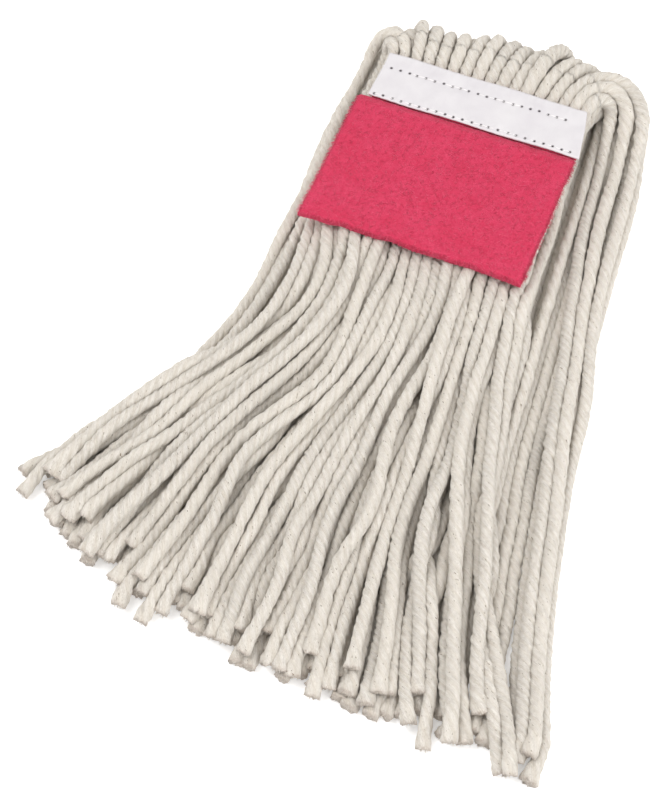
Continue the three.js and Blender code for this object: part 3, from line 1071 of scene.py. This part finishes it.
def add_fibres(shape, across, along, top):
    """Short curled fibres: every second one stands out of an edge."""
    rows, columns = across.shape
    around = circle(FIBRE_SIDES)
    quads = tube_faces(FIBRE_SEGMENTS + 1, FIBRE_SIDES)
    for number in range(PAD_FIBRES):
        at_edge = number % 2 == 0
        k = int(rng.integers(2, rows - 1))
        j = int(rng.integers(1, columns - 1))
        if at_edge:
            edge = rng.integers(3)
            k = 1 if edge == 0 else k
            j = (1, columns - 2)[edge - 1] if edge else j
        sunk = rng.uniform(0.2, 2.5) if at_edge else 0.1
        root = np.array([across[k, j], along[k, j], top[k, j] - sunk])
        heading = rng.uniform(0, 2 * math.pi)
        reach = rng.uniform(1.8, 4.0)
        curl = rng.uniform(-1.6, 1.6)
        q = np.linspace(-0.5, 0.5, FIBRE_SEGMENTS + 1)
        if at_edge:
            heading = EDGE_HEADINGS[edge] + rng.normal(0, 0.7)
            q = q + 0.35
        bearing = heading + curl * q
        run = reach * q
        line = root + np.stack([run * np.cos(bearing), run * np.sin(bearing), 0.3 - 1.2 * q * q], 1)
        radius = rng.uniform(0.07, 0.13)
        beside = np.cos(around)
        ring = np.stack([beside * -math.sin(heading), beside * math.cos(heading), np.sin(around)], 1)
        points = (line[:, None, :] + radius * ring).reshape(-1, 3)
        n = len(points)
        ends = np.array([[0, 2, 1], [n - 3, n - 2, n - 1]])
        depth = np.full(n, rng.uniform(-0.75, 0.1))
        shape.add(points, quads=quads, triangles=ends, fibre_depth=depth)


def build_margin():
    """The pad's sewn edge, squeezed between the yarns and the upper tape."""
    s, t = slab_grid(100, 24)
    along = lerp(BAND_EDGE - 1.2, -BAND_EDGE + 0.6, t)
    half = BAND_LENGTH / 2 - 2.0 - TAPE_TAPER * (1 - t)
    across = s * half + tape_lean(along) + random_field(s.shape, 8, 0.12) * np.abs(s)
    bottom = np.full(s.shape, PAD_UNDERSIDE + 0.1) + random_field(s.shape, 6, 0.08)
    pits = random_field(s.shape, 1, 0.08)
    top = bottom + MARGIN_THICKNESS - 0.15 + pits
    piece = fibre_slab(across, along, top, bottom, pits).to_object("scrub_pad_margin_visual", scrub)
    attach(piece, "headband")
    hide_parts("scrub_pad_sewn_margin")


build_pad()
build_margin()

# ---- headband ----

STITCH_PITCH = 5.2
LOOP_SIDE_ROW = (0.37 * BAND_EDGE, -64, 52)  # y, then the first and last needle hole's x
PAD_SIDE_ROW = (-0.87 * BAND_EDGE, -63, 60)
HOLE_RADIUS = 0.62
DIMPLE = (0.42, 1.7), (0.5, 0.55)  # depth and radius of a stitch's pull, wide and close
PUCKER_HEIGHT = 0.14
THREAD_RADIUS = 0.26
THREAD_SAG = 0.95  # from a stitch's middle to its needle holes
THREAD_SEAT = 0.35  # how far the threads lie inside the tapes' faces


def stitch_places(row_y, first_x, last_x):
    """Where the needle went through along one row, with a sewer's small unevenness."""
    count = int((last_x - first_x) / STITCH_PITCH)
    x = np.linspace(first_x, last_x, count) + rng.normal(0, 0.25, count)
    y = row_y + rng.normal(0, 0.15, count) + 0.5 * np.sin(x / 30)
    return np.stack([x + tape_lean(y), y], 1)


def tape_heights(across, along, holes):
    """How far the stitches pull the tape down, and how much painted shade each needle hole gets."""
    pull = np.zeros(across.shape)
    hole = np.zeros(across.shape)
    for x, y in holes:
        away = np.hypot(across - x, along - y)
        wide, close = [depth * np.exp(-((away / radius) ** 2)) for depth, radius in DIMPLE]
        pull += wide + close
        hole = np.maximum(hole, smooth(1.9 - away / HOLE_RADIUS))
    return pull, hole


def build_tape(name, node, length, top_z, bottom_z, up, holes):
    """One tape, stitched, with painted shade at the needle holes on the face that looks away from the
    yarns.
    """
    s, t = slab_grid(330, 80)
    across = s * (length / 2 - TAPE_TAPER * (1 - t)) + 0.35 * np.sin(t * 5) * np.abs(s) ** 8
    along = lerp(BAND_EDGE, -BAND_EDGE, t) + 0.3 * np.sin(s * 7 + 3 * t) * (np.abs(2 * t - 1) ** 6)
    across = across + tape_lean(along)
    pull, hole = tape_heights(across, along, holes)
    near_edges = np.exp(-(((np.abs(t - 0.5) - 0.42) / 0.09) ** 2))
    puckers = PUCKER_HEIGHT * np.sin(across / STITCH_PITCH * 2 * math.pi) * near_edges
    swell = random_field(s.shape, 60, 0.16)
    rolled = 0.55 * smooth((np.abs(2 * t - 1) - 0.93) / 0.07)
    rolled = rolled + 0.4 * smooth((np.abs(s) - 0.985) / 0.015)
    face = -0.15 + puckers + swell - pull - rolled
    if up:
        top, bottom = top_z + face, np.full(s.shape, bottom_z) - 0.15 * pull
        bottom = np.minimum(bottom, top - 0.4)
    else:
        bottom, top = bottom_z - face, np.full(s.shape, top_z)
        top = np.maximum(top, bottom + 0.4)
    # the painted needle-hole shade goes on the outer face only
    faces = (hole, np.zeros(hole.shape)) if up else (np.zeros(hole.shape), hole)
    shape = slab_shape(across, along, top, bottom, "needle_hole_shade", *faces)
    piece = shape.to_object(name, tape_vinyl)
    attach(piece, "headband")
    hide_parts(node)


def build_stitches(name, node, places, z, up):
    """One row of stitches: a short sagging run of thread from each needle hole to the next."""
    shape = Shape()
    sides, segments = 6, 8
    around = circle(sides)
    ring = THREAD_RADIUS * np.stack([np.zeros(sides), -np.cos(around), np.sin(around)], 1)
    for (x0, y0), (x1, y1) in zip(places[:-1], places[1:]):
        q = np.linspace(0, 1, segments + 1)
        lift = np.sin(math.pi * q) ** 0.5 * THREAD_SAG - THREAD_SAG
        line = np.stack([lerp(x0, x1, q), lerp(y0, y1, q), z + (lift if up else -lift)], 1)
        points = (line[:, None, :] + ring).reshape(-1, 3)
        n = len(points)
        points = np.vstack([points, line[0], line[-1]])
        shape.add(points, tube_faces(segments + 1, sides), tube_ends(sides, n))
    piece = shape.to_object(name, thread)
    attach(piece, "headband")
    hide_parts(node)


def build_headband():
    rows = {"loop_side": stitch_places(*LOOP_SIDE_ROW), "pad_side": stitch_places(*PAD_SIDE_ROW)}
    holes = np.vstack(list(rows.values()))
    upper = (BAND_LENGTH, TAPE_TOP, TAPE_BOTTOM, True)
    lower = (LOWER_TAPE_LENGTH, LOWER_TAPE_TOP, LOWER_TAPE_BOTTOM, False)
    build_tape("upper_tape_visual", "headband_upper_tape", *upper, holes)
    build_tape("lower_tape_visual", "headband_lower_tape", *lower, holes)
    for where, places in rows.items():
        over, under = f"stitching_{where}_upper", f"stitching_{where}_lower"
        build_stitches(over + "_visual", over, places, TAPE_TOP - THREAD_SEAT, True)
        build_stitches(under + "_visual", under, places, LOWER_TAPE_BOTTOM + THREAD_SEAT, False)


build_headband()

# ---- floor and light ----

FLOOR_REACH = 30.0  # metres each way
SKY_STRENGTH = (0.3, 0.6, 1.06, 0.68)  # heights of the change, then strength below and above
KEY_LIGHT = (-0.7, -0.3, 1.5), 1.0, 14  # place and size in metres, then watts
FILL_LIGHT = (1.5, -0.5, 1.1), 1.6, 19


def add_floor():
    mesh = bpy.data.meshes.new("floor")
    corners = [(FLOOR_REACH * x, FLOOR_REACH * y, 0) for x, y in ((-1, -1), (1, -1), (1, 1), (-1, 1))]
    mesh.from_pydata(corners, [], [(0, 1, 2, 3)])
    mesh.materials.append(floor_material())
    floor = add_object("floor", mesh)


def add_light(name, place, size, watts):
    """A soft square light aimed at the middle of the mop."""
    data = bpy.data.lights.new(name, "AREA")
    data.size = size
    data.energy = watts
    light = add_object(name, data)
    light.location = place
    light.rotation_euler = (-Vector(place)).to_track_quat("-Z", "Y").to_euler()


def add_world():
    """A white studio: brightest near the floor's far edge, softer overhead."""
    world = bpy.data.worlds.new("studio")
    world.use_nodes = True
    background = world.node_tree.nodes["Background"]
    background.inputs["Color"].default_value = WHITE
    nodes, links = world.node_tree.nodes, world.node_tree.links
    direction = nodes.new("ShaderNodeTexCoord").outputs["Generated"]
    parts = nodes.new("ShaderNodeSeparateXYZ")
    height = nodes.new("ShaderNodeMapRange")
    for name, value in zip(("From Min", "From Max", "To Min", "To Max"), SKY_STRENGTH):
        height.inputs[name].default_value = value
    links.new(direction, parts.inputs[0])
    links.new(parts.outputs["Z"], height.inputs["Value"])
    links.new(height.outputs["Result"], background.inputs["Strength"])
    bpy.context.scene.world = world
    bpy.context.scene.view_settings.view_transform = "Standard"


add_floor()
add_light("key_light", *KEY_LIGHT)
add_light("fill_light", *FILL_LIGHT)
add_world()
